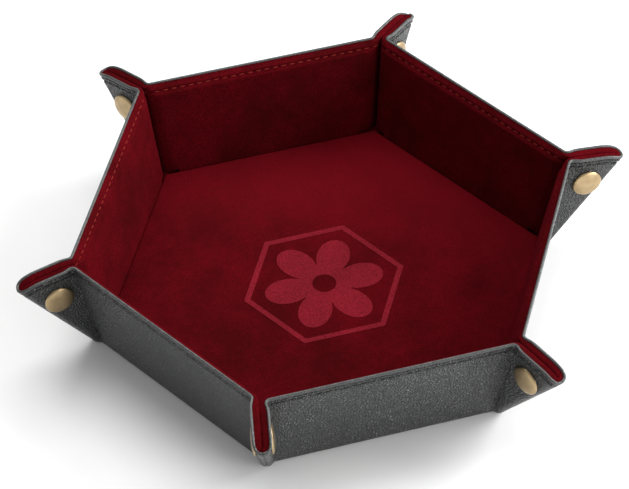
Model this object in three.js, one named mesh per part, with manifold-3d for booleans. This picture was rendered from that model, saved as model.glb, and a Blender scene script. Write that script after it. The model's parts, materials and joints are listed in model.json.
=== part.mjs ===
// Folding hexagonal dice tray: a stiffened leatherette sheet lined with velvet, folded up along the six
// sides of its floor and held by a press stud at each pinched corner.
//
// The tray is drawn the way it is cut, as a flat sheet, and then folded. Each wall has its own frame:
// x runs outwards from the fold line, y runs along it (anticlockwise seen from above) and z is the height
// above the sheet's outer leather face. Millimetres, +Z up, origin at the centre of the underside.
import * as THREE from "three";
import { mergeVertices } from "three/addons/utils/BufferGeometryUtils.js";
import Module from "manifold-3d";

const wasm = await Module();
wasm.setup();

// Driving dimensions
const SHEET_SIDE = 150; // side of the flat sheet's hexagon
const FLOOR_SIDE = 95; // side of the hexagon between the fold lines
const SHEET_CORNER_RADIUS = 20;
const WALL_TILT = 80; // degrees above the floor when the corners are snapped
const LEATHER = 1.0; // thickness of each layer
const BOARD = 1.5;
const VELVET = 1.0;
const LAYER_GAP = 0.15; // glue line between layers, and the cut between panels
const SHARED_FOLD_GAP = 0.7; // from a corner's shared fold to each of its flaps, which the fold leaves open
const FLAP = 2.0; // leather and velvet of an unstiffened corner flap
const CORNER_GAP = 2.0; // between the velvet faces of a closed corner

// Each corner stands at this bearing, and its closed flaps lean this far anticlockwise of straight out.
const CORNERS = [
  { name: "right_corner", bearing: 0, lean: 0 },
  { name: "back_right_corner", bearing: 60, lean: -20 },
  { name: "back_left_corner", bearing: 120, lean: 3 },
  { name: "left_corner", bearing: 180, lean: 10 },
  { name: "front_left_corner", bearing: 240, lean: 18 },
  { name: "front_right_corner", bearing: 300, lean: -4 },
];
// Wall i runs from corner i to corner i + 1.
const WALLS = [
  "right_back_wall",
  "back_wall",
  "left_back_wall",
  "left_front_wall",
  "front_wall",
  "right_front_wall",
];

// Margins from a panel's fold line, rim and corner creases to each layer's edge
const BOARD_MARGIN = { fold: 3.8, rim: 5.2, crease: 3.0 };
const PAD_MARGIN = { fold: 2.6, rim: 4.0, crease: 1.6 };
const LINING_MARGIN = { fold: 1.25, rim: 1.1, crease: LAYER_GAP };
const COVER_MARGIN = { fold: LAYER_GAP, rim: 0, crease: LAYER_GAP };
const RIM_LIP = 0.9; // width of the leather turned over at the rim
const RIM_ROUND = 0.8;
const PAD_BEVEL = 0.9;

// Press stud, measured on its own axis
const SNAP_ALONG_FOLD = 34.5; // from the floor's corner, along the flaps' shared fold
const SNAP_FROM_FOLD = 7.8;
const CAP_RADIUS = 6.25;
const CAP_HEIGHT = 1.6;
const CAP_EDGE = { height: 0.3, inset: 0.15 }; // the cap's short straight side
const SOCKET_RADIUS = 5.0;
const SOCKET_HEIGHT = 2.0;
const SOCKET_FLOOR = 0.35; // thickness under the socket's bore
const SOCKET_FLANGE = 0.5;
const STUD_RADIUS = 1.7;
const STUD_HEIGHT = 2.2;
const STUD_BORE = 1.7; // depth of the rivet's hole in the stud
const STUD_NECK_INSET = 0.25;
const STUD_FLANGE = { radius: 4.4, height: 0.4 };
const BORE_PLAY = 0.9; // between the stud and the socket's bore, and at its narrower mouth
const MOUTH_PLAY = 0.6;
const RIVET_RADIUS = 1.1;
const RIVET_CLEARANCE = 0.2;
const RIVET_SUNK = 0.05; // below the socket's floor
const EYELET_RADIUS = 2.0; // hole through the flap
const COUNTERBORE = { radius: 5.6, depth: 0.5 };
const METAL_GAP = 0.1; // between a metal piece and the flap it is riveted to
const ROUND_STEPS = 20;
const TOOL_SIZE = 400; // of the cutting blocks, larger than the tray

const rad = THREE.MathUtils.degToRad;
const COS30 = Math.cos(rad(30));
const SIN30 = Math.sin(rad(30));
const apothem = (side) => side * COS30;

// Derived dimensions
const WALL_LENGTH = apothem(SHEET_SIDE - FLOOR_SIDE); // from the fold line to the rim
const PIVOT_Z = LEATHER; // a wall turns about the leather's inner face
const BOARD_Z = LEATHER + LAYER_GAP;
const LINING_Z = BOARD_Z + BOARD + LAYER_GAP;
const STACK = LINING_Z + VELVET;
const HALF_EAR = FLAP + CORNER_GAP / 2; // from a closed corner's middle plane to its leather face
const CREASE_SLANT = Math.atan(Math.cos(rad(WALL_TILT)) * Math.tan(rad(30)));
const STRAIGHT_FOLD = Math.acos(SIN30 * Math.sin(rad(WALL_TILT))); // a flap's fold on a corner with no lean
// Where the outer faces of two raised walls meet, along the fold line
const RAISED_CORNER_Y = FLOOR_SIDE / 2 + LEATHER * Math.sin(rad(WALL_TILT)) * Math.tan(rad(30));

const solidOf = (geometry) => {
  const bare = geometry.clone();
  bare.deleteAttribute("normal");
  bare.deleteAttribute("uv");
  const merged = mergeVertices(bare, 1e-5);
  return new wasm.Manifold(
    new wasm.Mesh({
      numProp: 3,
      vertProperties: merged.attributes.position.array,
      triVerts: new Uint32Array(merged.index.array),
    }),
  );
};

const geometryOf = (solid) => {
  const mesh = solid.getMesh();
  const geometry = new THREE.BufferGeometry();
  geometry.setAttribute("position", new THREE.BufferAttribute(mesh.vertProperties, 3));
  geometry.setIndex(new THREE.BufferAttribute(mesh.triVerts, 1));
  return geometry;
};

// A plate of the outline's shape between two heights.
const plate = (outline, low, high) => {
  const shape = Array.isArray(outline) ? new THREE.Shape(outline) : outline;
  const options = { depth: high - low, bevelEnabled: false, curveSegments: 8 };
  return new THREE.ExtrudeGeometry(shape, options).translate(0, 0, low);
};

// The same, with its upper edge chamfered; the matching chamfer underneath is cut away.
const paddedPlate = (outline, low, high) => {
  const options = {
    depth: high - low,
    bevelThickness: PAD_BEVEL,
    bevelSize: PAD_BEVEL,
    bevelOffset: -PAD_BEVEL,
    bevelSegments: 1,
  };
  const block = new THREE.ExtrudeGeometry(new THREE.Shape(outline), options);
  const below = new THREE.BoxGeometry(TOOL_SIZE, TOOL_SIZE, TOOL_SIZE).translate(0, 0, low - TOOL_SIZE / 2);
  return solidOf(block.translate(0, 0, low - PAD_BEVEL)).subtract(solidOf(below));
};

// A body of revolution; its profile runs anticlockwise, up the outside and back down the inside.
const turned = (profile) => {
  const points = profile.map(([radius, height]) => new THREE.Vector2(radius, height));
  return new THREE.LatheGeometry(points, ROUND_STEPS).rotateX(Math.PI / 2);
};

const materials = {
  leather: new THREE.MeshStandardMaterial({ color: 0x2b2f30, roughness: 0.45, metalness: 0 }),
  velvet: new THREE.MeshStandardMaterial({ color: 0x6d0a12, roughness: 0.95, metalness: 0 }),
  board: new THREE.MeshStandardMaterial({ color: 0x8f7f69, roughness: 0.9, metalness: 0 }),
  brass: new THREE.MeshStandardMaterial({ color: 0xb08d57, roughness: 0.3, metalness: 1 }),
};

const meshOf = (name, shape, material) => {
  const geometry = shape.isBufferGeometry ? shape : geometryOf(shape);
  const mesh = new THREE.Mesh(geometry, materials[material].clone());
  mesh.name = name;
  return mesh;
};

// What a corner does to the wall on one side of it. A wall's +y end meets the next corner and carries the
// socket; its -y end meets the corner before it and carries the stud.
const cornerSide = (corner, side) => {
  const fold = STRAIGHT_FOLD - side * rad(corner.lean);
  const twinFold = STRAIGHT_FOLD + side * rad(corner.lean);
  // A corner that leans needs more of the sheet on one side, so both flaps end together when closed.
  const spare = (Math.tan(twinFold / 2) - Math.tan(fold / 2)) * (HALF_EAR / 2);
  return {
    fold,
    creaseY: RAISED_CORNER_Y - HALF_EAR / Math.sin(fold) / Math.cos(CREASE_SLANT),
    cornerX: -spare * Math.sin(CREASE_SLANT),
    cornerY: FLOOR_SIDE / 2 + spare * Math.cos(CREASE_SLANT),
  };
};

// A wall panel's outline: its fold line, its two slanting corner creases and its rim.
const wallOutline = (start, end, margin) => {
  const low = margin.fold;
  const high = WALL_LENGTH - margin.rim;
  const edge = (side, x) =>
    side.creaseY + Math.tan(CREASE_SLANT) * x - margin.crease / Math.cos(CREASE_SLANT);
  return [
    new THREE.Vector2(low, -edge(start, low)),
    new THREE.Vector2(high, -edge(start, high)),
    new THREE.Vector2(high, edge(end, high)),
    new THREE.Vector2(low, edge(end, low)),
  ];
};

const grown = (margin, by) => ({ fold: margin.fold - by, rim: margin.rim - by, crease: margin.crease - by });

// The lining dips to the leather round its edge and is padded out over the board, which it hides.
const liningOf = (outlineAt) => {
  const skirt = solidOf(plate(outlineAt(LINING_MARGIN), BOARD_Z, BOARD_Z + VELVET));
  const pad = paddedPlate(outlineAt(PAD_MARGIN), BOARD_Z, STACK);
  const pocket = solidOf(plate(outlineAt(grown(BOARD_MARGIN, LAYER_GAP)), 0, LINING_Z));
  return skirt.add(pad).subtract(pocket);
};

const wallCover = (start, end) => {
  const sheet = solidOf(plate(wallOutline(start, end, COVER_MARGIN), 0, LEATHER));
  const lipMargin = { ...COVER_MARGIN, fold: WALL_LENGTH - RIM_LIP };
  const lip = solidOf(plate(wallOutline(start, end, lipMargin), 0, BOARD_Z + VELVET));
  const corner = new THREE.BoxGeometry(RIM_ROUND, TOOL_SIZE, RIM_ROUND).rotateY(rad(45));
  const chamfer = solidOf(corner.translate(WALL_LENGTH, 0, 0));
  return sheet.add(lip).subtract(chamfer);
};

const floorOutline = (margin) => {
  const radius = FLOOR_SIDE - margin.fold / COS30;
  return CORNERS.map(({ bearing }) => {
    const angle = rad(bearing);
    return new THREE.Vector2(radius * Math.cos(angle), radius * Math.sin(angle));
  });
};

// A flap's outline at a wall's +y end: crease, rim, rounded tip and the fold that it shares with its twin.
const flapShape = ({ creaseY, cornerX, cornerY }) => {
  const gap = LAYER_GAP;
  const creaseAt = (x) => creaseY + Math.tan(CREASE_SLANT) * x + gap / Math.cos(CREASE_SLANT);
  const foldAt = (x) => cornerY + Math.tan(rad(30)) * (x - cornerX) - SHARED_FOLD_GAP / COS30;
  const tipX = WALL_LENGTH - SHEET_CORNER_RADIUS;
  const tipY = SHEET_SIDE / 2 - SHEET_CORNER_RADIUS * Math.tan(rad(30));
  const beyondTip = (foldAt(tipX) - tipY) * COS30;
  const arcStart = rad(30) + Math.asin(beyondTip / SHEET_CORNER_RADIUS);
  const shape = new THREE.Shape();
  shape.moveTo(gap, creaseAt(gap));
  shape.lineTo(gap, foldAt(gap));
  shape.absarc(tipX, tipY, SHEET_CORNER_RADIUS, arcStart, 0, true);
  shape.lineTo(WALL_LENGTH, creaseAt(WALL_LENGTH));
  return shape;
};

const snapCentre = ({ cornerX, cornerY }) => ({
  x: cornerX + SNAP_ALONG_FOLD * COS30 + SNAP_FROM_FOLD * SIN30,
  y: cornerY + SNAP_ALONG_FOLD * SIN30 - SNAP_FROM_FOLD * COS30,
});

const flapOf = (side, ySign) => {
  const { x, y } = snapCentre(side);
  const drill = (radius, low, high) => {
    const cutter = new THREE.CylinderGeometry(radius, radius, high - low, ROUND_STEPS);
    return solidOf(cutter.rotateX(Math.PI / 2).translate(x, y, (low + high) / 2));
  };
  const flap = solidOf(plate(flapShape(side), 0, FLAP))
    .subtract(drill(EYELET_RADIUS, -1, FLAP + 1))
    .subtract(drill(COUNTERBORE.radius, FLAP - COUNTERBORE.depth, FLAP + 1));
  return ySign > 0 ? flap : flap.mirror([0, 1, 0]);
};

// Heights on the press stud's axis, from the flap's leather face towards its velvet face
const SEAT_Z = FLAP - COUNTERBORE.depth + METAL_GAP;
const SOCKET_TOP = SEAT_Z + SOCKET_HEIGHT;
const STUD_TOP = SEAT_Z + STUD_HEIGHT;
const STUD_BORE_TOP = SEAT_Z + STUD_BORE;

// A domed cap with the rivet that holds it to the piece inside.
const capOf = (rivetEnd) => {
  const crown = CAP_HEIGHT + METAL_GAP;
  return turned([
    [0, -crown],
    [CAP_RADIUS * 0.4, -crown * 0.97],
    [CAP_RADIUS * 0.72, -crown * 0.86],
    [CAP_RADIUS * 0.92, -crown * 0.62],
    [CAP_RADIUS, -METAL_GAP - CAP_EDGE.height],
    [CAP_RADIUS - CAP_EDGE.inset, -METAL_GAP],
    [RIVET_RADIUS, -METAL_GAP],
    [RIVET_RADIUS, rivetEnd],
    [0, rivetEnd],
  ]);
};

const socketOf = () => {
  const bore = STUD_RADIUS + BORE_PLAY;
  const mouth = STUD_RADIUS + MOUTH_PLAY;
  const eye = RIVET_RADIUS + RIVET_CLEARANCE;
  return turned([
    [eye, SEAT_Z],
    [SOCKET_RADIUS, SEAT_Z],
    [SOCKET_RADIUS, SEAT_Z + SOCKET_FLANGE],
    [SOCKET_RADIUS * 0.82, SEAT_Z + 0.8],
    [SOCKET_RADIUS * 0.7, SOCKET_TOP],
    [mouth + 0.2, SOCKET_TOP],
    [mouth, SOCKET_TOP - 0.4],
    [bore, SOCKET_TOP - 0.7],
    [bore, SEAT_Z + SOCKET_FLOOR],
    [eye, SEAT_Z + SOCKET_FLOOR],
    [eye, SEAT_Z],
  ]);
};

const studOf = () => {
  const bore = RIVET_RADIUS + RIVET_CLEARANCE;
  const neck = STUD_RADIUS - STUD_NECK_INSET;
  return turned([
    [0, STUD_BORE_TOP],
    [bore, STUD_BORE_TOP],
    [bore, SEAT_Z],
    [STUD_FLANGE.radius, SEAT_Z],
    [STUD_FLANGE.radius, SEAT_Z + STUD_FLANGE.height],
    [neck, SEAT_Z + 0.6],
    [neck, SEAT_Z + 1.1],
    [STUD_RADIUS, SEAT_Z + 1.6],
    [neck, STUD_TOP - 0.2],
    [STUD_RADIUS * 0.6, STUD_TOP],
    [0, STUD_TOP],
  ]);
};

// The flap at one end of a wall, folded back about its crease, with its half of the press stud.
const flapGroup = (corner, ySign) => {
  const side = cornerSide(corner, ySign);
  const group = new THREE.Group();
  const crease = new THREE.Vector3(Math.cos(CREASE_SLANT), ySign * Math.sin(CREASE_SLANT), 0);
  group.position.set(0, ySign * side.creaseY, -PIVOT_Z);
  group.quaternion.setFromAxisAngle(crease, -ySign * side.fold);

  const sheet = new THREE.Group();
  sheet.position.set(0, -ySign * side.creaseY, 0);
  group.add(sheet);

  const { x, y } = snapCentre(side);
  const snap = new THREE.Group();
  snap.position.set(x, ySign * y, 0);
  sheet.add(snap);

  const half = ySign > 0 ? "socket" : "stud";
  const rivetEnd = ySign > 0 ? SEAT_Z + SOCKET_FLOOR - RIVET_SUNK : STUD_BORE_TOP - RIVET_CLEARANCE;
  sheet.add(meshOf(`${corner.name}_${half}_flap`, flapOf(side, ySign), "leather"));
  snap.add(meshOf(`${corner.name}_${half}_cap`, capOf(rivetEnd), "brass"));
  snap.add(meshOf(`${corner.name}_${half}`, ySign > 0 ? socketOf() : studOf(), "brass"));
  return group;
};

// A wall between two corners, raised about its fold line, with a flap at each end.
const wallGroup = (name, startCorner, endCorner) => {
  const start = cornerSide(startCorner, -1);
  const end = cornerSide(endCorner, 1);
  const bearing = new THREE.Group();
  bearing.rotation.z = rad(startCorner.bearing + 30);
  const hinge = new THREE.Group();
  hinge.position.set(apothem(FLOOR_SIDE), 0, PIVOT_Z);
  hinge.rotation.y = -rad(WALL_TILT);
  bearing.add(hinge);

  const panel = new THREE.Group();
  panel.position.z = -PIVOT_Z;
  const board = plate(wallOutline(start, end, BOARD_MARGIN), BOARD_Z, BOARD_Z + BOARD);
  const lining = liningOf((margin) => wallOutline(start, end, margin));
  panel.add(meshOf(`${name}_cover`, wallCover(start, end), "leather"));
  panel.add(meshOf(`${name}_board`, board, "board"));
  panel.add(meshOf(`${name}_lining`, lining, "velvet"));
  hinge.add(panel, flapGroup(startCorner, -1), flapGroup(endCorner, 1));
  return bearing;
};

const tray = new THREE.Group();
tray.add(
  meshOf("base_cover", plate(floorOutline(COVER_MARGIN), 0, LEATHER), "leather"),
  meshOf("base_board", plate(floorOutline(BOARD_MARGIN), BOARD_Z, BOARD_Z + BOARD), "board"),
  meshOf("floor_lining", liningOf(floorOutline), "velvet"),
);
WALLS.forEach((name, i) => tray.add(wallGroup(name, CORNERS[i], CORNERS[(i + 1) % 6])));

export default tray;
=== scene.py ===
"""The looks of a folding hexagonal dice tray: pebbled black leatherette outside, red velvet inside.

The tray is drawn as the flat sheet that it is cut from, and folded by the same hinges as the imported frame.
A point of the sheet is (x, y, w) in a wall's own frame. x is outwards from the wall's fold line, y is along
that line towards the end being drawn, and w is up from the leatherette's outer face. Metres throughout.
"""

import json
import math
import random

import bmesh
import bpy
import numpy as np
from mathutils import Matrix, Vector

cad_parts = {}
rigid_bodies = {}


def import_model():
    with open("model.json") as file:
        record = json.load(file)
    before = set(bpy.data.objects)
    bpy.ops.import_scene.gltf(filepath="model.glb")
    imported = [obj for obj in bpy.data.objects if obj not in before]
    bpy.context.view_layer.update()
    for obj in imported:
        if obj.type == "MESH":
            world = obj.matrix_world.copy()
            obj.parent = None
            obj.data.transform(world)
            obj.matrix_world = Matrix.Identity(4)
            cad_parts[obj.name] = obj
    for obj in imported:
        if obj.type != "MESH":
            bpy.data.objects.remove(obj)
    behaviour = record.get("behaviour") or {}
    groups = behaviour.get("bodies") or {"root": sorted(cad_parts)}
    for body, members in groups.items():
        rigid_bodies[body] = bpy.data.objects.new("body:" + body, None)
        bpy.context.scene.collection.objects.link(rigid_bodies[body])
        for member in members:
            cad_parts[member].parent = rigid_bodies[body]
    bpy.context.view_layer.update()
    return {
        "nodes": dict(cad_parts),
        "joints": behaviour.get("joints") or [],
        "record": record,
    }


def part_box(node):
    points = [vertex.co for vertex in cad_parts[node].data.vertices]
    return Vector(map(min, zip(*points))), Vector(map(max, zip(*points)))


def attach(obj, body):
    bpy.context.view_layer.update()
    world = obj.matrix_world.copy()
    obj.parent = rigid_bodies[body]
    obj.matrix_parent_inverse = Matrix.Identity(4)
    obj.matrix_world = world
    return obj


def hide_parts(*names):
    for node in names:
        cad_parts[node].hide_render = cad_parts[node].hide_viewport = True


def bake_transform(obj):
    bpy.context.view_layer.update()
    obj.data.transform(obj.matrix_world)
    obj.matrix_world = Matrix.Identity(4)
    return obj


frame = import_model()
random.seed(7)

MM = 0.001
BEHAVIOUR = frame["record"]["behaviour"]
JOINTS = {joint["name"]: joint for joint in frame["joints"]}
RATIOS = {c["joint"]: c["ratio"] for c in BEHAVIOUR["couplings"]}

# Each wall spans 60 degrees of the hexagon, so its ends lean by half of that
SIN_30 = math.sin(math.radians(30))
COS_30 = math.cos(math.radians(30))
TAN_30 = math.tan(math.radians(30))

# The flat sheet
SHEET_SIDE = 150 * MM
CORNER_RADIUS = 20 * MM
LEATHER = 1.0 * MM
VELVET = 1.0 * MM
PAD_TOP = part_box("floor_lining")[1].z
FLAP_TOP = 2.5 * MM  # velvet face of an unstiffened flap
HALF_EAR = 3.0 * MM  # from a closed corner's middle to its leather face
LAYER_GAP = 0.05 * MM

# How the sheet bends
FOLD_RADIUS = 1.2 * MM  # of the leather's inner face where a wall folds up
FOLD_MARGIN = 0.4 * MM  # how far a wall's leather runs onto the floor before the bend
CREASE_RADIUS = 1.6 * MM  # of the leather's outer face where a flap folds back
CREASE_REACH = 4.5 * MM  # how far a flap's skins run onto the wall
PAST_BEND = 0.1 * MM  # from the end of a bend to the first row beyond it
PAD_START = 1.35 * MM  # from a fold line to the velvet's edge
PAD_ROUND = 1.5 * MM
THINNING_START = 2.9 * MM  # short of the crease, where a wall's thick pad begins to thin to a flap's
THINNING_REACH = 4.5 * MM
PAD_FOOT = LEATHER + 0.3 * MM  # height of the velvet's rolled edge beside a fold
STRIP = 0.4 * MM  # thickness of the velvet over a wall's fold
STRIP_LAP = 0.6 * MM  # how far it runs under the pads, and stops short of the corners

# The sewn edge, as distances from the rim
SEAM = 3.7 * MM
TURNED_EDGE = 1.7 * MM  # the dark line inside the turned edge
BEAD = 0.6 * MM  # radius of the turned edge
BEAD_CENTRE = 0.7 * MM  # height of the bead's middle
EDGE_ZONE = 6.2 * MM  # rows lie close together this far in
ROW_GAP = 0.4 * MM  # from there to the first of the wider rows
WORN_EDGE = 0.7 * MM
WORN_FADE = 0.5 * MM
PANEL_START = 3.3 * MM  # where the velvet's panel begins to rise
PANEL_RISE = 2.2 * MM
BAND_RISE = 2.4 * MM
EDGE_RISE = 0.6 * MM

# Heights and depths at the sewn edge
WALL_EDGE = 1.4 * MM  # height of a wall's velvet just inside the turned edge
FLAP_EDGE = 2.95 * MM
BAND_TOP = 2.92 * MM  # height of the velvet band between the turned edge and the seam
TURNED_DEPTH = 0.35 * MM
TURNED_WIDTH = 0.35 * MM
LEATHER_GROOVE_DEPTH = 0.55 * MM
LEATHER_GROOVE_WIDTH = 0.6 * MM
VELVET_GROOVE_DEPTH = 0.5 * MM
VELVET_GROOVE_WIDTH = 0.5 * MM
FLARE = 1.0 * MM  # how far the velvet spreads a flap's rim outwards
FLARE_REACH = 8.0 * MM  # in from the rim
FLARE_FADE = 6.0 * MM  # across the crease
FLARE_FROM_FOLD = 5.0 * MM  # from none at the shared fold to all of it
TURNDOWN = 0.25 * MM  # height that the velvet turns down to over the leather's edge at the shared fold

# Where shade is painted on the leather, and how dark: 1 is black
WALL_FOOT_PAINTED_SHADE = 0.5  # at the foot of a wall, fading to none at its rim
# painted shade over the flaps, and a painted shadow along their creases
FLAP_PAINTED_SHADE = 0.4
CREASE_PAINTED_SHADOW = 0.4
CREASE_SHADE = 1.2 * MM
TURNED_SHADE = 0.4 * MM
SEAM_SHADE = 0.5 * MM

# Painted sheen on the floor's pile, lighter towards the back
PAINTED_SHEEN_WAY = math.radians(62)  # turned from the x axis, towards the back
PAINTED_SHEEN_START = 5 * MM  # past the floor's centre
PAINTED_SHEEN_REACH = 75 * MM
PAINTED_SHEEN_MOST = 0.5

# Sewing
STITCH_PITCH = 3.6 * MM
STITCH_LENGTH = 2.7 * MM
STITCH_SINK = 0.35 * MM  # how far both ends of a stitch sink in
STITCH_SKEW = 0.08  # the most that a stitch is turned either way
THREAD_RADIUS = 0.28 * MM
THREAD_RISE = 0.15 * MM  # of the thread's middle over the velvet's groove
THREAD_OUT = 0.05 * MM  # of the thread's middle out from the leather's groove
LAST_STITCH = 1.2 * MM  # from the last stitch to the shared fold

# The press studs, as in the frame
SNAP_ALONG_FOLD = 34.5 * MM
SNAP_FROM_FOLD = 7.8 * MM
SEAT = 1.6 * MM
SNAP_DIMPLE = 5.4 * MM
DIMPLE_RISE = 1.0 * MM
DIMPLE_PLAY = 0.1 * MM
RIVET_RADIUS = 1.1 * MM
RIVET_HOLE = 1.3 * MM
AXIS = 0.005 * MM  # a radius that closes a turned piece at its axis


def smooth(t):
    """Rises from 0 to 1 as t does, and levels off at both ends."""
    t = np.clip(t, 0, 1)
    return t * t * (3 - 2 * t)


def round_up(t):
    """Rises from 0 to 1 as t does, steeply at first, as a quarter circle."""
    return np.sqrt(1 - (1 - np.clip(t, 0, 1)) ** 2)


def valley(distance, centre, width):
    """1 along a line, and fading to 0 on both sides of it."""
    return np.exp(-(((distance - centre) / width) ** 2))


class End:
    """One end of a wall: its flap's crease, and the fold that the flap shares with its twin."""

    def __init__(self, wall, joint):
        self.wall = wall
        self.body = joint["child"]
        self.prefix = self.body[: -len("_side")]
        self.half = self.prefix.rsplit("_", 1)[1]
        self.side = 1 if self.half == "socket" else -1
        self.turn = RATIOS[joint["name"]] * wall.tilt
        foot = wall.unfold @ (Vector(joint["pos_m"]) - wall.pivot)
        crease = wall.unfold @ Vector(joint["axis"])
        self.slant = math.atan(abs(crease.y / crease.x))
        self.crease_y = abs(foot.y)
        straight = math.acos(SIN_30 * math.sin(wall.tilt))
        spare = (math.tan(straight - self.turn / 2) - math.tan(self.turn / 2)) * HALF_EAR / 2
        self.corner = (-spare * math.sin(self.slant), wall.floor_side / 2 + spare * math.cos(self.slant))

    def across(self, x, y):
        """Distance past the crease."""
        return (y - self.crease_y) * math.cos(self.slant) - x * math.sin(self.slant)

    def crease_at(self, x, past=0.0):
        return self.crease_y + x * math.tan(self.slant) + past / math.cos(self.slant)

    def inside(self, x, y):
        """Distance short of the shared fold."""
        return (x - self.corner[0]) * SIN_30 - (y - self.corner[1]) * COS_30

    def snap(self):
        """The middle of the press stud."""
        return (
            self.corner[0] + SNAP_ALONG_FOLD * COS_30 + SNAP_FROM_FOLD * SIN_30,
            self.corner[1] + SNAP_ALONG_FOLD * SIN_30 - SNAP_FROM_FOLD * COS_30,
        )

    def curl(self, p):
        """Rounds the flap's edge over to the middle of the closed corner."""
        x, y, w = p.T
        near = np.clip(HALF_EAR - self.inside(x, y), 0, HALF_EAR)
        angle = near / HALF_EAR * math.pi / 2
        radius = HALF_EAR - w
        shift = radius * np.sin(angle) - near
        lifted = HALF_EAR - radius * np.cos(angle)
        return np.stack([x - shift * SIN_30, y + shift * COS_30, lifted], axis=1)

    def fold(self, p, curled=True):
        """From the flat sheet to where the flap stands when the tray is folded up."""
        if curled:
            p = self.curl(p)
        x, y, w = p.T
        q = self.across(x, y)
        along = x * math.cos(self.slant) + (y - self.crease_y) * math.sin(self.slant)
        run = CREASE_RADIUS * math.tan(self.turn / 2)
        angle = self.turn * np.clip((q + run) / (2 * run), 0, 1)
        beyond = np.maximum(q - run, 0)
        radius = CREASE_RADIUS + w
        q2 = radius * np.sin(angle) - run + beyond * np.cos(angle) + np.minimum(q + run, 0)
        w2 = radius * np.cos(angle) - CREASE_RADIUS - beyond * np.sin(angle)
        x2 = along * math.cos(self.slant) - q2 * math.sin(self.slant)
        y2 = self.crease_y + along * math.sin(self.slant) + q2 * math.cos(self.slant)
        return self.wall.fold(np.stack([x2, self.side * y2, w2], axis=1))

    def blend(self, piece):
        """Bakes the piece's placement into its mesh; where the crease's bend starts and ends is worked out
        but not used.
        """
        run = CREASE_RADIUS * math.tan(self.turn / 2)
        x = self.wall.length / 2
        ends = np.array([[x, self.crease_at(x, past), 0] for past in (-run, run)])
        start, end = self.fold(ends, curled=False)
        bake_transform(piece)


class Wall:
    """A wall, with the fold that raises it from the floor."""

    def __init__(self, name):
        joint = JOINTS[name + "_fold"]
        self.name = name
        self.pivot = Vector(joint["pos_m"])
        self.bearing = math.atan2(self.pivot.y, self.pivot.x)
        self.apothem = math.hypot(self.pivot.x, self.pivot.y)
        self.tilt = math.radians(joint["range_deg"][1])
        self.floor_side = self.apothem / COS_30
        self.length = (SHEET_SIDE - self.floor_side) * COS_30
        self.unfold = Matrix.Rotation(self.tilt, 3, "Y") @ Matrix.Rotation(-self.bearing, 3, "Z")
        self.run = FOLD_RADIUS * math.tan(self.tilt / 2)
        flaps = [j for j in JOINTS.values() if j["parent"] == name]
        self.ends = {end.side: end for end in (End(self, j) for j in flaps)}

    def place(self, x, y, z):
        c, s = math.cos(self.bearing), math.sin(self.bearing)
        out = self.apothem + x
        return np.stack([out * c - y * s, out * s + y * c, z], axis=1)

    def fold(self, p):
        """From the flat sheet to where the wall stands when the tray is folded up."""
        x, y, w = p.T
        angle = self.tilt * np.clip((x + self.run) / (2 * self.run), 0, 1)
        radius = FOLD_RADIUS + LEATHER - w
        beyond = np.maximum(x - self.run, 0)
        out = radius * np.sin(angle) - self.run + beyond * np.cos(angle) + np.minimum(x + self.run, 0)
        up = LEATHER + FOLD_RADIUS - radius * np.cos(angle) + beyond * np.sin(angle)
        return self.place(out, y, up)

    def blend(self, piece):
        """Bakes the piece's placement into its mesh; where the fold's bend starts and ends is worked out but
        not used.
        """
        ends = np.array([[-self.run, 0, LEATHER], [self.run, 0, LEATHER]])
        start, end = self.fold(ends)
        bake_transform(piece)


WALLS = [Wall(j["child"]) for j in JOINTS.values() if j["parent"] == "base"]


# Heights of the skins, from the distance to the rim


def leather_low(rim):
    """The leather's outer face: its bead, the line inside it, and the seam's groove."""
    bead = BEAD_CENTRE - np.sqrt(np.maximum(BEAD**2 - (BEAD - rim) ** 2, 0))
    band = (BEAD_CENTRE - BEAD) * (1 - smooth((rim - BEAD) / (SEAM - BEAD)))
    turned = TURNED_DEPTH * valley(rim, TURNED_EDGE, TURNED_WIDTH)
    groove = LEATHER_GROOVE_DEPTH * valley(rim, SEAM, LEATHER_GROOVE_WIDTH)
    return np.where(rim < BEAD, bead, band + turned + groove)


def leather_high(rim):
    """The leather's inner face."""
    bead = BEAD_CENTRE + np.sqrt(np.maximum(BEAD**2 - (BEAD - rim) ** 2, 0))
    return np.where(rim < BEAD, bead, LEATHER)


def leather_shades(rim, painted_darkening):
    """Where the leather is worn along its turned edge, and where shade is painted on it: dark in its two
    grooves, and darker still by the painted shade that it is given.
    """
    worn = 1 - smooth((rim - WORN_EDGE) / WORN_FADE)
    # Painted shade in the two grooves, added to the painted shade given for a wall or a flap
    painted_groove_shade = valley(rim, TURNED_EDGE, TURNED_SHADE) + valley(rim, SEAM, SEAM_SHADE)
    dark = painted_groove_shade + (1 - worn) * painted_darkening
    return {"worn_edge": np.tile(worn.ravel(), 2), "darkened": np.tile(dark.ravel(), 2)}


def velvet_high(rim, panel_top, edge_top):
    """The velvet's face: a band along the rim, the seam's groove, and the panel inside it."""
    band = edge_top + (BAND_TOP - edge_top) * smooth((rim - BEAD) / BAND_RISE)
    panel = band + (panel_top - band) * smooth((rim - PANEL_START) / PANEL_RISE)
    groove = VELVET_GROOVE_DEPTH * valley(rim, SEAM, VELVET_GROOVE_WIDTH)
    base = LEATHER + LAYER_GAP
    return base + (panel - groove - base) * round_up((rim - BEAD) / EDGE_RISE)


def velvet_low(high):
    return np.maximum(high - VELVET, LEATHER + LAYER_GAP)


def rolled(high, from_fold):
    """The velvet's height where its edge rolls down beside a fold line."""
    return PAD_FOOT + (high - PAD_FOOT) * round_up((from_fold - PAD_START) / PAD_ROUND)


def flare(end, x, y, rim):
    """The outward spread of a flap's rim, fading out on the wall and at the shared fold."""
    on_flap = smooth(end.across(x, y) / FLARE_FADE + 0.2)
    from_fold = smooth(end.inside(x, y) / FLARE_FROM_FOLD)
    return FLARE * smooth(1 - rim / FLARE_REACH) * on_flap * from_fold


# Meshes

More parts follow.
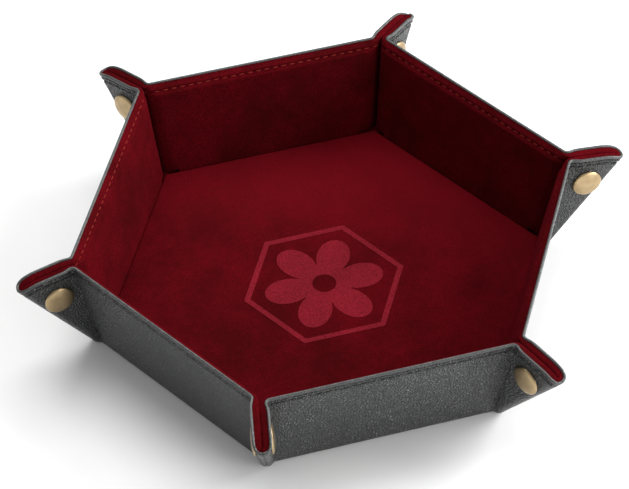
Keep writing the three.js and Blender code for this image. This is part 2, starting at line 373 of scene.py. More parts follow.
SKINS = {"leather": ("pebbled_leather", "black_leather"), "velvet": ("velvet_pile", "red_velvet")}


def material_of(name):
    return bpy.data.materials[name]


def piece(name, points, faces, material, slot, shades=None):
    """A closed mesh with one material; shades are values at its points for the material to read."""
    mesh = bpy.data.meshes.new(name)
    mesh.from_pydata([tuple(p) for p in points], [], faces)
    for shade, values in (shades or {}).items():
        mesh.attributes.new(shade, "FLOAT", "POINT").data.foreach_set("value", values)
    tidy = bmesh.new()
    tidy.from_mesh(mesh)
    bmesh.ops.remove_doubles(tidy, verts=tidy.verts, dist=1e-7)
    bmesh.ops.recalc_face_normals(tidy, faces=tidy.faces)
    tidy.to_mesh(mesh)
    tidy.free()
    mesh.polygons.foreach_set("use_smooth", [True] * len(mesh.polygons))
    mesh.set_sharp_from_angle(angle=math.radians(50))
    mesh.materials.append(material_of(material))
    thing = bpy.data.objects.new(name, mesh)
    bpy.context.scene.collection.objects.link(thing)
    return thing


def slab(x, y, low, high):
    """Points and faces of a closed slab over a grid."""
    rows, columns = x.shape
    top = np.stack([x, y, high], axis=2).reshape(-1, 3)
    bottom = np.stack([x, y, low], axis=2).reshape(-1, 3)
    index = np.arange(rows * columns).reshape(rows, columns)
    under = index + rows * columns
    a, b, c, d = index[:-1, :-1], index[1:, :-1], index[1:, 1:], index[:-1, 1:]
    faces = np.stack([a, b, c, d], axis=2).reshape(-1, 4).tolist()
    faces += (np.stack([d, c, b, a], axis=2).reshape(-1, 4) + rows * columns).tolist()
    for edge, edge_under in (
        (index[0], under[0]),
        (index[-1], under[-1]),
        (index[:, 0], under[:, 0]),
        (index[:, -1], under[:, -1]),
    ):
        faces += np.stack([edge[:-1], edge[1:], edge_under[1:], edge_under[:-1]], axis=1).tolist()
    return np.concatenate([top, bottom]), faces


def round_steps(count=8):
    """Steps from 0 to 1, closer together at first, for a rounded edge."""
    return 1 - np.cos(np.linspace(0, math.pi / 2, count))


def rim_rows(start):
    """Distances from the rim, closer together where the edge curves."""
    edge = BEAD * round_steps()
    rows = np.concatenate([edge, np.linspace(BEAD + 0.04 * MM, EDGE_ZONE, 22)])
    return rows[rows >= start][::-1]


# Panels of the sheet

ALMOST_ALL = 0.999  # of the way in to the floor's centre, where the last ring closes the slab
# In mm: from the floor's corner to the gather's middle, its two radii, and its lowest and highest points
GATHERS = {
    "leather": {"inset": 1.0, "length": 2.8, "width": 2.3, "low": 0.05, "high": 1.5},
    "velvet": {"inset": 1.1, "length": 3.3, "width": 2.6, "low": 1.0, "high": 3.0},
}


def wall_grid(wall, levels, limits, columns=48):
    """A grid between a wall's two ends; limits gives its half length at each level towards each end."""
    across = np.linspace(0, 1, columns)
    rows = []
    for x in levels:
        low = -limits(wall.ends[-1], x)
        high = limits(wall.ends[1], x)
        rows.append(low + across * (high - low))
    return np.repeat(levels[:, None], columns, axis=1), np.array(rows)


def wall_cover(wall):
    def limit(end, x):
        corner = wall.floor_side / 2 + min(x, 0) * TAN_30
        reach = end.crease_at(x, -CREASE_REACH)
        levels = [0.2 * wall.run, wall.run, wall.run + PAST_BEND]
        return float(np.interp(x, levels, [corner, end.crease_y, reach]))

    rim = wall.length - rim_rows(0)
    bend = np.linspace(-wall.run - FOLD_MARGIN, wall.run, 12)
    face = np.linspace(wall.run + PAST_BEND, wall.length - EDGE_ZONE - ROW_GAP, 14)
    x, y = wall_grid(wall, np.concatenate([bend, face, rim]), limit)
    points, faces = slab(x, y, leather_low(wall.length - x), leather_high(wall.length - x))
    # Painted shade: the wall's leather is darker towards its foot, fading to none at its rim
    shades = leather_shades(wall.length - x, WALL_FOOT_PAINTED_SHADE * (1 - smooth(x / wall.length)))
    cover = piece(wall.name + "_leather", wall.fold(points), faces, *SKINS["leather"], shades)
    wall.blend(cover)
    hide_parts(wall.name + "_cover")


def wall_lining(wall):
    edge = PAD_START + PAD_ROUND * round_steps()
    face = np.linspace(PAD_START + PAD_ROUND + 2 * ROW_GAP, wall.length - EDGE_ZONE - ROW_GAP, 14)
    levels = np.concatenate([edge, face, wall.length - rim_rows(BEAD)])
    x, y = wall_grid(wall, levels, lambda end, x: end.crease_at(x, -CREASE_REACH))
    high = rolled(velvet_high(wall.length - x, PAD_TOP, WALL_EDGE), x)
    points, faces = slab(x, y, velvet_low(high), high)
    lining = piece(wall.name + "_velvet", wall.fold(points), faces, *SKINS["velvet"])
    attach(lining, wall.name)
    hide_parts(wall.name + "_lining")


def fold_velvet(wall):
    """The velvet between the floor's pad and a wall's, which bends with the fold."""

    def limit(end, x):
        return wall.floor_side / 2 + x * TAN_30 - STRIP_LAP

    levels = np.linspace(-PAD_START - STRIP_LAP, PAD_START + STRIP_LAP, 12)
    x, y = wall_grid(wall, levels, limit)
    low = np.full(x.shape, LEATHER + LAYER_GAP)
    points, faces = slab(x, y, low, low + STRIP)
    strip = piece(wall.name + "_fold_velvet", wall.fold(points), faces, *SKINS["velvet"])
    wall.blend(strip)


class FlapCurves:
    """Curves that follow a flap's outline at a distance inside it, with matching columns."""

    FLAT_COLUMNS = 14
    # Distances past the crease, a few on the wall and then close together over the bend
    OVER_CREASE = np.append(np.linspace(-CREASE_REACH, -1.4 * MM, 4), np.linspace(-1.1 * MM, 1.4 * MM, 10))
    # Distances short of the shared fold
    OVER_FOLD = np.append(np.linspace(HALF_EAR, 0.06 * MM, 10), 0.015 * MM)

    def __init__(self, end):
        self.end = end
        self.tip_x = end.wall.length - CORNER_RADIUS
        self.tip_y = SHEET_SIDE / 2 - CORNER_RADIUS * TAN_30
        self.tip_inside = end.inside(self.tip_x, self.tip_y)

    def stations(self, rim):
        """Arc lengths along the curve at each column, from the wall side to the shared fold."""
        x = self.end.wall.length - rim
        start = self.end.crease_at(x, -CREASE_REACH)
        over_crease = self.end.crease_at(x, self.OVER_CREASE) - start
        radius = CORNER_RADIUS - rim
        tilt = math.radians(30) - np.arcsin((self.OVER_FOLD - self.tip_inside) / radius)
        over_fold = self.tip_y - start + radius * tilt
        middle = np.linspace(over_crease[-1], over_fold[0], self.FLAT_COLUMNS + 2)[1:-1]
        return np.concatenate([over_crease, middle, over_fold])

    def point(self, rim, station):
        """The place at each arc length, on the straight edge or round the sheet's corner."""
        x = self.end.wall.length - rim
        start = self.end.crease_at(x, -CREASE_REACH)
        straight = self.tip_y - start
        radius = CORNER_RADIUS - rim
        angle = np.maximum(station - straight, 0) / radius
        y = np.where(station < straight, start + station, self.tip_y + radius * np.sin(angle))
        return np.where(station < straight, x, self.tip_x + radius * np.cos(angle)), y

    def bottom(self, x):
        """The flap's low edge, beside the floor's corner."""
        end = self.end
        over_crease = end.crease_at(x, self.OVER_CREASE)
        shared_fold = end.corner[1] + (x - end.corner[0]) * TAN_30
        over_fold = shared_fold - self.OVER_FOLD / COS_30
        least = over_crease[-1] + np.linspace(0, 0.1 * MM, len(self.OVER_FOLD))
        over_fold = np.maximum(over_fold, least)
        middle = np.linspace(over_crease[-1], over_fold[0], self.FLAT_COLUMNS + 2)[1:-1]
        y = np.concatenate([over_crease, middle, over_fold])
        return np.full(y.shape, x), y

    def grid(self, low_x, rims, rows=16):
        """The whole flap: rows that follow the outline near it, then straight down to its low edge."""
        outer = [self.point(rim, self.stations(rim)) for rim in rims]
        foot, top = self.bottom(low_x), outer[0]
        steps = np.linspace(0, 1, rows + 1)[:-1, None]
        x = np.concatenate([foot[0] + steps * (top[0] - foot[0]), np.array([p[0] for p in outer])])
        y = np.concatenate([foot[1] + steps * (top[1] - foot[1]), np.array([p[1] for p in outer])])
        columns = x.shape[1]
        beyond_the_edge = np.full((rows, columns), SHEET_SIDE)
        rim = np.concatenate([beyond_the_edge, np.repeat(rims[:, None], columns, axis=1)])
        return x, y, rim


def flap_cover(end):
    grid = FlapCurves(end).grid(end.wall.run + PAST_BEND, rim_rows(0))
    x, y, rim = (values[:, :-1] for values in grid)
    spread = flare(end, x, y, rim)
    points, faces = slab(x, y, leather_low(rim) - spread, leather_high(rim) - spread)
    # Painted shade over the flap's leather, and a painted shadow along its crease
    painted_darkening = FLAP_PAINTED_SHADE + CREASE_PAINTED_SHADOW * valley(end.across(x, y), 0, CREASE_SHADE)
    shades = leather_shades(rim, painted_darkening)
    name = f"{end.prefix}_flap"
    cover = piece(name + "_leather", end.fold(points), faces, *SKINS["leather"], shades)
    end.blend(cover)
    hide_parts(name)


def flap_lining(end):
    x, y, rim = FlapCurves(end).grid(PAD_START, rim_rows(BEAD))
    onto_flap = smooth((end.across(x, y) + THINNING_START) / THINNING_REACH)
    panel_top = PAD_TOP + (FLAP_TOP - PAD_TOP) * onto_flap
    edge_top = WALL_EDGE + (FLAP_EDGE - WALL_EDGE) * onto_flap
    high = velvet_high(rim, panel_top, edge_top)
    snap_x, snap_y = end.snap()
    from_snap = np.hypot(x - snap_x, y - snap_y)
    dimple = 1 - smooth((from_snap - SNAP_DIMPLE) / DIMPLE_RISE)
    high = high - dimple * np.maximum(high - (SEAT - DIMPLE_PLAY), 0)
    high = rolled(high, x)
    low = velvet_low(high) - flare(end, x, y, rim)
    low[:, -1] = TURNDOWN
    points, faces = slab(x, y, low, high)
    lining = piece(f"{end.prefix}_flap_velvet", end.fold(points), faces, *SKINS["velvet"])
    end.blend(lining)


def hexagon_corner(i):
    angle = math.radians(60 * i)
    return Vector((math.cos(angle), math.sin(angle)))


def hexagon_grid(apothem, insets, segments=24):
    """Rings of a hexagon, each at a distance inside its edge."""
    rings = []
    for inset in insets:
        radius = (apothem - inset) / COS_30
        corners = [hexagon_corner(i) * radius for i in range(6)]
        ring = []
        for i in range(6):
            for step in range(segments):
                ring.append(corners[i].lerp(corners[(i + 1) % 6], step / segments))
        rings.append(ring)
    return np.array([[tuple(v) for v in ring] for ring in rings])


def painted_pile_sheen(points):
    """Painted sheen: where the floor's pile is painted lighter, which is towards the back."""
    towards_back = points[:, 0] * math.cos(PAINTED_SHEEN_WAY) + points[:, 1] * math.sin(PAINTED_SHEEN_WAY)
    return {"brushed": PAINTED_SHEEN_MOST * smooth((towards_back - PAINTED_SHEEN_START) / PAINTED_SHEEN_REACH)}


def hexagon_slab(apothem, insets, low, high):
    """Points and faces of a closed hexagonal slab; low and high are its heights at each inset."""
    rings = hexagon_grid(apothem, insets)
    count, around = rings.shape[:2]
    top = np.concatenate([rings, np.repeat(high[:, None, None], around, axis=1)], axis=2).reshape(-1, 3)
    bottom = np.concatenate([rings, np.repeat(low[:, None, None], around, axis=1)], axis=2).reshape(-1, 3)
    faces = []
    total = count * around
    for i in range(count - 1):
        for j in range(around):
            a, b = i * around + j, i * around + (j + 1) % around
            quad = (a, b, b + around, a + around)
            faces += [quad, tuple(k + total for k in reversed(quad))]
    for j in range(around):
        k = (j + 1) % around
        faces.append((j, total + j, total + k, k))
    return np.concatenate([top, bottom]), faces


def floor_cover():
    wall = WALLS[0]
    apothem = wall.apothem - wall.run - FOLD_MARGIN
    insets = apothem * ALMOST_ALL * np.linspace(0, 1, 30) ** 1.3
    ones = np.ones_like(insets)
    points, faces = hexagon_slab(apothem, insets, 0 * ones, LEATHER * ones)
    cover = piece("base_leather", points, faces, *SKINS["leather"])
    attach(cover, "base")
    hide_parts("base_cover")


def floor_lining():
    apothem = WALLS[0].apothem - PAD_START
    inner = PAD_ROUND + (apothem * ALMOST_ALL - PAD_ROUND) * np.linspace(0.01, 1, 60)
    insets = np.concatenate([PAD_ROUND * round_steps(), inner])
    high = rolled(PAD_TOP, insets + PAD_START)
    points, faces = hexagon_slab(apothem, insets, velvet_low(high), high)
    # The floor's pile carries a painted sheen towards the back
    lining = piece("floor_velvet", points, faces, *SKINS["velvet"], painted_pile_sheen(points))
    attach(lining, "base")
    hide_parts("floor_lining")


def lump(centre, bearing, length, width, low, high, steps=12):
    """Points and faces of a rounded pad, with its length along its bearing."""
    points, faces = [], []
    around = 3 * steps
    for i in range(steps + 1):
        angle = math.pi * (i / steps - 0.5)
        ring = max(math.cos(angle), 0.001) ** 0.6
        height = (low + high) / 2 + (high - low) / 2 * math.sin(angle)
        for k in range(around):
            turn = 2 * math.pi * k / around
            along = length * ring * math.cos(turn)
            aside = width * ring * math.sin(turn)
            x = centre[0] + along * math.cos(bearing) - aside * math.sin(bearing)
            y = centre[1] + along * math.sin(bearing) + aside * math.cos(bearing)
            points.append((x, y, height))
    for i in range(steps):
        for k in range(around):
            a, b = i * around + k, i * around + (k + 1) % around
            faces.append((a, b, b + around, a + around))
    return points, faces


def corner_gathers():
    """The leather and velvet gathered where two fold lines and an ear meet."""
    for i in range(6):
        for skin, sizes in GATHERS.items():
            inset, length, width, low, high = (size * MM for size in sizes.values())
            centre = hexagon_corner(i) * (WALLS[0].floor_side - inset)
            points, faces = lump(centre, math.radians(60 * i), length, width, low, high)
            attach(piece(f"corner_{i}_{skin}_gather", points, faces, *SKINS[skin]), "base")


# Sewing


def stitch(centre_x, centre_y, along, height, lift):
    """One stitch that lies the way `along` points, sunk at both ends; lift is +1 on the velvet side."""
    rings = 7
    sides = 6
    points = []
    for i in range(rings):
        t = i / (rings - 1) * 2 - 1
        radius = THREAD_RADIUS * math.sqrt(max(1 - t**4, 0.02))
        sink = STITCH_SINK * t * t
        for k in range(sides):
            angle = 2 * math.pi * k / sides
            aside = radius * math.cos(angle)
            forward = t * STITCH_LENGTH / 2
            points.append(
                (
                    centre_x + along[0] * forward - along[1] * aside,
                    centre_y + along[1] * forward + along[0] * aside,
                    height + lift * (radius * math.sin(angle) - sink),
                )
            )
    faces = [tuple(range(sides)), tuple(range((rings - 1) * sides, rings * sides))]
    for i in range(rings - 1):
        for k in range(sides):
            a, b = i * sides + k, i * sides + (k + 1) % sides
            faces.append((a, b, b + sides, a + sides))
    return points, faces


def sew(centres, directions, height, lift):
    """A row of stitches, each turned a little by chance."""
    points, faces = [], []
    for (x, y), along in zip(centres, directions):
        skew = random.uniform(-STITCH_SKEW, STITCH_SKEW)
        turned = (along[0] - along[1] * skew, along[1] + along[0] * skew)
        more, its_faces = stitch(x, y, turned, height, lift)
        faces += [tuple(i + len(points) for i in face) for face in its_faces]
        points += more
    return np.array(points), faces


def seam_height(panel_top, edge_top):
    """How high the thread lies in the velvet's groove."""
    return velvet_high(np.array([SEAM]), panel_top, edge_top)[0] + THREAD_RISE


# The thread's height, the way it stands out, its material and the CAD material that it goes with
SIDES = {
    "inner": (seam_height(PAD_TOP, WALL_EDGE), 1, "red_thread", "red_velvet"),
    "outer": (leather_low(np.array([SEAM]))[0] - THREAD_OUT, -1, "black_thread", "black_leather"),
}


def wall_stitches(wall):
    x = wall.length - SEAM
    low = -wall.ends[-1].crease_at(x, -CREASE_REACH)
    high = wall.ends[1].crease_at(x, -CREASE_REACH)
    count = round((high - low) / STITCH_PITCH)
    places = [(x, low + (high - low) * (i + 0.5) / count) for i in range(count)]
    for side, (height, lift, thread, slot) in SIDES.items():
        points, faces = sew(places, [(0, 1)] * count, height, lift)
        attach(piece(f"{wall.name}_{side}_stitching", wall.fold(points), faces, thread, slot), wall.name)


def flap_stitches(end):
    curves = FlapCurves(end)
    total = curves.stations(SEAM)[-1] - LAST_STITCH
    count = round(total / STITCH_PITCH)
    stations = np.array([(i + 0.5) / count * total for i in range(count)])
    places = np.stack(curves.point(SEAM, stations), axis=1)
    step = 0.1 * MM
    ahead = np.stack(curves.point(SEAM, stations + step), axis=1)
    directions = (ahead - places) / step
    for side, (height, lift, thread, slot) in SIDES.items():
        if side == "inner":
            height = seam_height(FLAP_TOP, FLAP_EDGE)
        points, faces = sew(places, directions, height, lift)
        if side == "outer":
            points[:, 2] -= flare(end, points[:, 0], points[:, 1], SEAM)
        end.blend(piece(f"{end.prefix}_{side}_stitching", end.fold(points), faces, thread, slot))


# Press studs


def lathe(name, end, profile, segments=56):
    """A turned brass piece on a snap's axis; its profile is (radius, height over the leather's face)."""
    snap_x, snap_y = end.snap()
    points, faces = [], []
    for radius, height in profile:
        for k in range(segments):
            angle = 2 * math.pi * k / segments
            points.append((snap_x + radius * math.cos(angle), snap_y + radius * math.sin(angle), height))
    for i in range(len(profile) - 1):
        for k in range(segments):
            a, b = i * segments + k, i * segments + (k + 1) % segments
            faces.append((a, b, b + segments, a + segments))
    thing = piece(name, end.fold(np.array(points), curled=False), faces, "turned_brass", "brass")
    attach(thing, end.body)
    return thing


def rounded(corners, radius, steps=5):
    """A profile with each inner corner rounded off."""
    points = [corners[0]]
    for before, corner, after in zip(corners, corners[1:], corners[2:]):
        c = Vector(corner)
        to_before, to_after = Vector(before) - c, Vector(after) - c
        reach = min(radius, to_before.length * 0.45, to_after.length * 0.45)
        a, b = c + to_before.normalized() * reach, c + to_after.normalized() * reach
        for step in range(steps + 1):
            t = step / steps
            points.append(tuple((1 - t) ** 2 * a + 2 * t * (1 - t) * c + t * t * b))
    points.append(corners[-1])
    return points


def snap_cap(end):
    """A domed cap on the leather, and the rivet that holds its half of the stud."""
    dome_radius = 6.05 * MM
    shoulder = -0.62 * MM
    crown = 1.08 * MM
    leather_face = -0.1 * MM
    rivet_top = 1.85 * MM
    arc = np.linspace(0.001, math.radians(88), 16)
    dome = [(dome_radius * math.sin(angle), shoulder - crown * math.cos(angle)) for angle in arc]
    skirt = [
        (6.22 * MM, -0.5 * MM),
        (6.25 * MM, -0.3 * MM),
        (6.1 * MM, leather_face),
        (RIVET_RADIUS, leather_face),
        (RIVET_RADIUS, rivet_top),
        (AXIS, rivet_top),
    ]
    cap = lathe(f"{end.prefix}_brass_cap", end, dome + rounded(skirt, 0.12 * MM))
    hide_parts(f"{end.prefix}_cap")


def snap_socket(end):
    """A flanged ring whose mouth is pinched in to grip the stud."""
    flange = 5.0 * MM
    flange_top = SEAT + 0.5 * MM
    floor_top = SEAT + 0.35 * MM
    mouth = 2.6 * MM
    top = SEAT + 2.0 * MM
    profile = [
        (RIVET_HOLE, SEAT),
        (flange, SEAT),
        (flange, flange_top),
        (4.1 * MM, flange_top + 0.2 * MM),
        (mouth + 1.0 * MM, top),
        (mouth, top),
        (mouth - 0.3 * MM, top - 0.4 * MM),
        (mouth, top - 0.8 * MM),
        (mouth, floor_top),
        (RIVET_HOLE, floor_top),
        (RIVET_HOLE, SEAT),
    ]
    socket = lathe(f"{end.prefix}_brass_socket", end, rounded(profile, 0.25 * MM))
    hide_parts(end.prefix)


def snap_stud(end):
    """A flanged stud, hollow from below, with a neck and a swollen head."""
    hollow_top = SEAT + 1.7 * MM
    flange = 4.4 * MM
    flange_top = SEAT + 0.4 * MM
    neck = 1.45 * MM
    head = 1.7 * MM
    top = SEAT + 2.2 * MM
    profile = [
        (RIVET_HOLE, hollow_top),
        (RIVET_HOLE, SEAT),
        (flange, SEAT),
        (flange, flange_top),
        (neck, flange_top + 0.2 * MM),
        (neck, SEAT + 1.1 * MM),
        (head, SEAT + 1.5 * MM),
        (1.55 * MM, top - 0.2 * MM),
        (1.0 * MM, top),
        (AXIS, top),
    ]
    stud = lathe(f"{end.prefix}_brass_stud", end, [(AXIS, hollow_top)] + rounded(profile, 0.2 * MM))
    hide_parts(end.prefix)


# The pressed emblem on the floor

BAND_OUTER = 34 * MM
BAND_INNER = 31.5 * MM
PETAL_OUTER = 25 * MM
PETAL_INNER = 10 * MM
EYE = 5 * MM
PRESSED = 0.05 * MM  # half of the emblem's thickness


def circle_points(radius, count):
    """A regular outline: six points make a hexagon, and many make a circle."""
    angles = [2 * math.pi * i / count for i in range(count)]
    return [(radius * math.cos(angle), radius * math.sin(angle)) for angle in angles]


def rosette_points(inner, outer, petals=6, steps=20):
    """A flower outline: rounded petals between an inner and an outer radius."""
    points = []
    for i in range(petals * steps):
        angle = 2 * math.pi * i / (petals * steps)
        radius = inner + (outer - inner) * abs(math.cos(petals / 2 * angle)) ** 0.7
        points.append((radius * math.cos(angle), radius * math.sin(angle)))
    return points


def emblem():
    """A hexagonal band round a six-petalled rosette with a round eye, in a lighter pile."""
    curve = bpy.data.curves.new("floor_emblem", "CURVE")
    curve.dimensions = "2D"
    curve.fill_mode = "BOTH"
    curve.extrude = PRESSED
    curve.bevel_depth = 0.08 * MM
    curve.bevel_resolution = 2
    outlines = [circle_points(BAND_OUTER, 6), circle_points(BAND_INNER, 6)]
    outlines += [rosette_points(PETAL_INNER, PETAL_OUTER), circle_points(EYE, 36)]
    for outline in outlines:
        spline = curve.splines.new("POLY")
        spline.points.add(len(outline) - 1)
        for point, (x, y) in zip(spline.points, outline):
            point.co = (x, y, 0, 1)
        spline.use_cyclic_u = True
    shape = bpy.data.objects.new("emblem_outline", curve)
    bpy.context.scene.collection.objects.link(shape)
    shape.location.z = PAD_TOP + PRESSED
    bpy.context.view_layer.update()
    mesh = bpy.data.meshes.new_from_object(shape.evaluated_get(bpy.context.evaluated_depsgraph_get()))
    mesh.transform(shape.matrix_world)
    bpy.data.objects.remove(shape)
    mesh.materials.clear()
    mesh.materials.append(material_of("pressed_velvet"))
    mesh.name = "floor_emblem"
    thing = bpy.data.objects.new("floor_emblem", mesh)
    bpy.context.scene.collection.objects.link(thing)
    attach(thing, "base")


# Materials


class Nodes:
    """A short way to write a node tree."""

    def __init__(self, name):
        self.material = bpy.data.materials.new(name)
        self.material.use_nodes = True
        self.tree = self.material.node_tree
        self.shader = self.tree.nodes["Principled BSDF"]
        self.place = self.add("ShaderNodeTexCoord").outputs["Object"]

    def add(self, kind, inputs=None, **settings):
        node = self.tree.nodes.new(kind)
        for key, value in settings.items():
            setattr(node, key, value)
        for key, value in (inputs or {}).items():
            self.plug(node.inputs[key], value)
        return node

    def plug(self, socket, value):
        if isinstance(value, bpy.types.NodeSocket):
            self.tree.links.new(value, socket)
        else:
            socket.default_value = value

    def set(self, **inputs):
        for key, value in inputs.items():
            self.plug(self.shader.inputs[key.replace("_", " ")], value)

    def noise(self, scale, detail=3.0, roughness=0.5):
        inputs = {"Vector": self.place, "Scale": scale, "Detail": detail, "Roughness": roughness}
        return self.add("ShaderNodeTexNoise", inputs).outputs["Fac"]

    def mix(self, factor, first, second):
        node = self.add("ShaderNodeMix", data_type="RGBA")
        for socket, value in zip((node.inputs[0], node.inputs[6], node.inputs[7]), (factor, first, second)):
            self.plug(socket, value)
        return node.outputs[2]

    def span(self, value, low, high, to_low=0.0, to_high=1.0):
        inputs = {"Value": value, "From Min": low, "From Max": high, "To Min": to_low, "To Max": to_high}
        return self.add("ShaderNodeMapRange", inputs).outputs["Result"]

    def shade(self, name):
        return self.add("ShaderNodeAttribute", attribute_name=name).outputs["Fac"]

    def bump(self, height, distance, strength=1.0, under=None):
        inputs = {"Height": height, "Distance": distance, "Strength": strength}
        if under is not None:
            inputs["Normal"] = under
        return self.add("ShaderNodeBump", inputs).outputs["Normal"]


def leather_material():
    """Black leatherette embossed with small pebbles, worn lighter on their tops, with painted shade in the
    crevices between them.
    """
    m = Nodes("pebbled_leather")
    painted_crevice_shade = (0.008, 0.009, 0.009, 1)
    new_top = (0.062, 0.067, 0.065, 1)
    worn_top = (0.125, 0.132, 0.129, 1)
    smooth_edge = (0.03, 0.032, 0.031, 1)
    # Painted shade: the colour that the leather is darkened towards
    groove = (0.004, 0.004, 0.004, 1)
    pebbles_per_metre = 820.0
    pebble_height = 0.0006
    wander = 0.0009

    drift = m.add("ShaderNodeTexNoise", {"Vector": m.place, "Scale": 600.0}).outputs["Color"]
    drift = m.add("ShaderNodeVectorMath", {0: drift, 1: (wander, wander, wander)}, operation="MULTIPLY")
    place = m.add("ShaderNodeVectorMath", {0: m.place, 1: drift.outputs[0]}, operation="ADD").outputs[0]
    inputs = {"Vector": place, "Scale": pebbles_per_metre, "Randomness": 0.8}
    cells = m.add("ShaderNodeTexVoronoi", inputs, feature="DISTANCE_TO_EDGE")
    from_crevice = cells.outputs["Distance"]

    edge_smoothness = m.span(m.shade("worn_edge"), 0, 1, 1.0, 0.2)
    normal = m.bump(m.span(from_crevice, 0.0, 0.4), pebble_height, edge_smoothness)
    normal = m.bump(m.noise(260.0, 5.0, 0.6), 0.0004, 0.3, normal)

    tops = m.mix(m.span(m.noise(28.0, 4.0), 0.35, 0.7), new_top, worn_top)
    # Painted shade: the crevices between the pebbles are darker than their tops
    colour = m.mix(m.span(from_crevice, 0.03, 0.32), painted_crevice_shade, tops)
    colour = m.mix(m.shade("worn_edge"), colour, smooth_edge)
    # Painted shade: darker in the grooves, towards the walls' feet, over the flaps and along their creases
    colour = m.mix(m.shade("darkened"), colour, groove)
    m.set(Base_Color=colour, Normal=normal, Roughness=m.span(m.noise(60.0), 0.3, 0.7, 0.28, 0.4))
    m.shader.inputs["Specular IOR Level"].default_value = 0.65


def velvet_material(name, deep, bright):
    """Short pile, brushed this way and that in soft patches, with painted sheen where a piece carries it."""
    m = Nodes(name)
    pile = m.noise(2600.0, 2.0)
    brushed = m.noise(95.0, 4.0, 0.6)
    patches = m.span(m.noise(30.0, 8.0, 0.75), 0.4, 0.62)
    colour = m.mix(patches, deep, bright)
    between_hairs = tuple(0.5 * c for c in deep[:3]) + (1,)
    # Painted sheen: the lighter colour of the pile where the light is painted on
    painted_sheen_colour = tuple(1.5 * c for c in bright[:3]) + (1,)
    colour = m.mix(m.span(pile, 0.3, 0.7), between_hairs, colour)
    # Painted sheen: lighter pile where the floor carries it
    colour = m.mix(m.shade("brushed"), colour, painted_sheen_colour)
    normal = m.bump(pile, 0.0004, 0.8)
    normal = m.bump(brushed, 0.0009, 0.4, normal)
    m.set(Base_Color=colour, Normal=normal, Roughness=m.span(brushed, 0.3, 0.7, 0.8, 0.98))
    m.shader.inputs["Sheen Weight"].default_value = 0.06
    m.shader.inputs["Sheen Roughness"].default_value = 0.35
    m.shader.inputs["Sheen Tint"].default_value = (0.9, 0.06, 0.1, 1)
    m.shader.inputs["Specular IOR Level"].default_value = 0.0


def brass_material():
    """Turned brass, lightly scuffed and tarnished in patches."""
    m = Nodes("turned_brass")
    clean = (0.43, 0.32, 0.18, 1)
    tarnished = (0.31, 0.22, 0.12, 1)
    scuffs = m.noise(900.0, 6.0, 0.7)
    colour = m.mix(m.span(m.noise(220.0, 3.0), 0.4, 0.75), clean, tarnished)
    m.set(Base_Color=colour, Normal=m.bump(scuffs, 0.00004, 0.4))
    m.set(Roughness=m.span(scuffs, 0.3, 0.75, 0.26, 0.46))
    m.shader.inputs["Metallic"].default_value = 1.0


def thread_material(name, colour, dark):
    """Sewing thread, with its twist as fine bands."""
    m = Nodes(name)
    bands = m.add("ShaderNodeTexWave", {"Vector": m.place, "Scale": 900.0, "Distortion": 2.0})
    twist = bands.outputs["Fac"]
    m.set(Base_Color=m.mix(twist, dark, colour), Normal=m.bump(twist, 0.00012, 0.7))
    m.set(Roughness=m.span(twist, 0, 1, 0.7, 0.9))
    m.shader.inputs["Specular IOR Level"].default_value = 0.1


def board_material():
    """Grey-brown pulp board with darker flecks."""
    m = Nodes("board_fibre")
    dark_fibre = (0.2, 0.17, 0.12, 1)
    light_fibre = (0.34, 0.29, 0.21, 1)
    fleck = (0.1, 0.08, 0.06, 1)
    fibres = m.noise(700.0, 6.0, 0.7)
    flecks = m.span(m.noise(1800.0, 2.0), 0.62, 0.7)
    colour = m.mix(flecks, m.mix(fibres, dark_fibre, light_fibre), fleck)
    m.set(Base_Color=colour, Normal=m.bump(fibres, 0.0001, 0.6))
    m.set(Roughness=m.span(fibres, 0.3, 0.7, 0.82, 0.95))


# Stage


def area_light(name, location, size, power, target=(0, 0, 0)):
    """A round soft light that faces its target."""
    light = bpy.data.lights.new(name, "AREA")
    light.shape = "DISK"
    light.size = size
    light.energy = power
    lamp = bpy.data.objects.new(name, light)
    lamp.location = location
    facing = Vector(target) - Vector(location)
    lamp.rotation_euler = facing.to_track_quat("-Z", "Y").to_euler()
    bpy.context.scene.collection.objects.link(lamp)


def studio():
    """Soft white light from all round, with three lights in it."""
    world = bpy.data.worlds.new("studio")
    world.use_nodes = True
    background = world.node_tree.nodes["Background"]
    background.inputs["Color"].default_value = (1, 1, 1, 1)
    background.inputs["Strength"].default_value = 0.5
    bpy.context.scene.world = world
    bpy.context.scene.view_settings.view_transform = "Standard"
    area_light("overhead", (0.0, 0.5, 1.1), size=0.9, power=11)
    area_light("key", (1.0, 0.0, 0.55), size=0.8, power=16)
    area_light("front_fill", (0.7, -0.9, 0.3), size=0.8, power=8, target=(0, 0, 0.02))


def paper_floor():
    """A pale sheet of paper, a little below the tray so that the two don't share a face."""
    reach = 6.0
    gap = 0.2 * MM
    mesh = bpy.data.meshes.new("floor")
    corners = [(-reach, -reach, 0), (reach, -reach, 0), (reach, reach, 0), (-reach, reach, 0)]
    mesh.from_pydata(corners, [], [(0, 1, 2, 3)])
    floor = bpy.data.objects.new("floor", mesh)
    floor.location.z = -gap
    paper = Nodes("paper")
    grain = paper.noise(40.0)
    paper.set(Base_Color=paper.mix(grain, (0.86, 0.86, 0.86, 1), (0.9, 0.9, 0.9, 1)), Roughness=0.9)
    mesh.materials.append(paper.material)
    bpy.context.scene.collection.objects.link(floor)


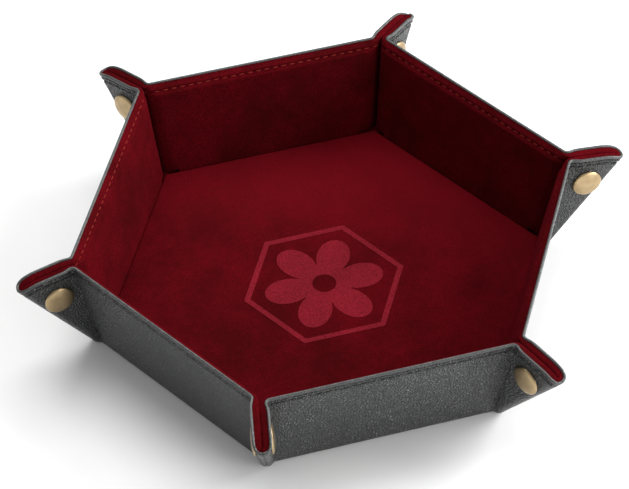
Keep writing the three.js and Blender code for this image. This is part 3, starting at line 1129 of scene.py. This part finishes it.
def camera():
    """The viewpoint: in front and to the left, looking well down, from far enough for a long lens."""
    azimuth = math.radians(-16.1)
    elevation = math.radians(46.2)
    roll = math.radians(-0.47)
    distance = 1.325
    shift_left = 0.004
    shift_up = 0.0186
    level = Vector((math.cos(azimuth), math.sin(azimuth), 0))
    forward = Vector((-math.sin(azimuth), math.cos(azimuth), 0))
    back = Vector((0, 0, math.sin(elevation))) - forward * math.cos(elevation)
    upright = back.cross(level)
    right = level * math.cos(roll) + upright * math.sin(roll)
    up = upright * math.cos(roll) - level * math.sin(roll)
    data = bpy.data.cameras.new("camera")
    data.lens = 184.7
    data.sensor_width = 36.0
    data.clip_start = 0.05
    data.clip_end = 20.0
    view = bpy.data.objects.new("camera", data)
    view.matrix_world = Matrix((right, up, back)).transposed().to_4x4()
    view.location = back * distance - right * shift_left + up * shift_up
    bpy.context.scene.collection.objects.link(view)
    bpy.context.scene.camera = view


def board_looks():
    """The boards keep their CAD shape, and take their own material."""
    for name, node in frame["nodes"].items():
        if name.endswith("_board"):
            node.data.materials.clear()
            node.data.materials.append(material_of("board_fibre"))


leather_material()
velvet_material("velvet_pile", deep=(0.066, 0.0032, 0.0045, 1), bright=(0.14, 0.0036, 0.008, 1))
velvet_material("pressed_velvet", deep=(0.19, 0.012, 0.02, 1), bright=(0.27, 0.014, 0.026, 1))
brass_material()
thread_material("red_thread", colour=(0.3, 0.03, 0.02, 1), dark=(0.16, 0.01, 0.01, 1))
thread_material("black_thread", colour=(0.02, 0.02, 0.021, 1), dark=(0.006, 0.006, 0.006, 1))
board_material()

board_looks()
floor_cover()
floor_lining()
corner_gathers()
emblem()
for tray_wall in WALLS:
    wall_cover(tray_wall)
    wall_lining(tray_wall)
    fold_velvet(tray_wall)
    wall_stitches(tray_wall)
    for wall_end in tray_wall.ends.values():
        flap_cover(wall_end)
        flap_lining(wall_end)
        flap_stitches(wall_end)
        snap_cap(wall_end)
        if wall_end.half == "socket":
            snap_socket(wall_end)
        else:
            snap_stud(wall_end)

studio()
paper_floor()
camera()
